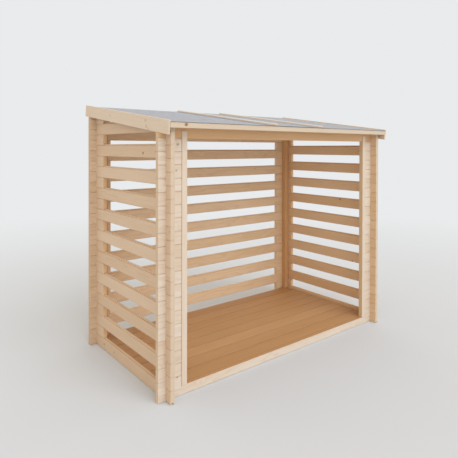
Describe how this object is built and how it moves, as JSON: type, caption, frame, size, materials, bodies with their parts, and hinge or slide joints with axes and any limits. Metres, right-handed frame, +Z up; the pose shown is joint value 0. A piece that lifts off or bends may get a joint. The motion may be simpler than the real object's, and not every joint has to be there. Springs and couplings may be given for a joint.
{
  "type": "log store",
  "caption": "Open-fronted firewood store of notched, interlocking log boards, with slatted side and back walls, a boarded floor and a felted single-slope roof.",
  "frame": {"origin": "centre of the store's footprint, roof edges included, at ground level", "axes": "+Z up, +X along the width to the right as seen from the open front, which faces -Y"},
  "size_m": [2.124, 1.2178, 1.7925],
  "materials": {
    "wall_spruce": "matte",
    "trim_spruce": "matte",
    "deck_spruce": "matte",
    "roofing_felt": "matte"
  },
  "bodies": {
    "root": {"front_sill_log": "wall_spruce", "back_sill_log": "wall_spruce", "back_wall_slats": "wall_spruce", "back_wall_corner_blocks": "wall_spruce", "front_header_log": "wall_spruce", "back_top_log": "wall_spruce", "left_wall_slats": "wall_spruce", "right_wall_slats": "wall_spruce", "left_wall_corner_blocks": "wall_spruce", "right_wall_corner_blocks": "wall_spruce", "left_gable_wedge_log": "wall_spruce", "right_gable_wedge_log": "wall_spruce", "front_left_stub_logs_a": "wall_spruce", "front_left_stub_logs_b": "wall_spruce", "front_right_stub_logs_a": "wall_spruce", "front_right_stub_logs_b": "wall_spruce", "left_jamb": "trim_spruce", "right_jamb": "trim_spruce", "front_left_corner_post": "trim_spruce", "front_right_corner_post": "trim_spruce", "back_left_corner_post": "trim_spruce", "back_right_corner_post": "trim_spruce", "left_bargeboard": "trim_spruce", "right_bargeboard": "trim_spruce", "front_fascia": "trim_spruce", "back_fascia": "trim_spruce", "left_roof_batten": "trim_spruce", "right_roof_batten": "trim_spruce", "roof_deck": "deck_spruce", "floor_boards": "deck_spruce", "floor_bearers": "deck_spruce", "roofing_felt": "roofing_felt"}
  },
  "joints": []
}
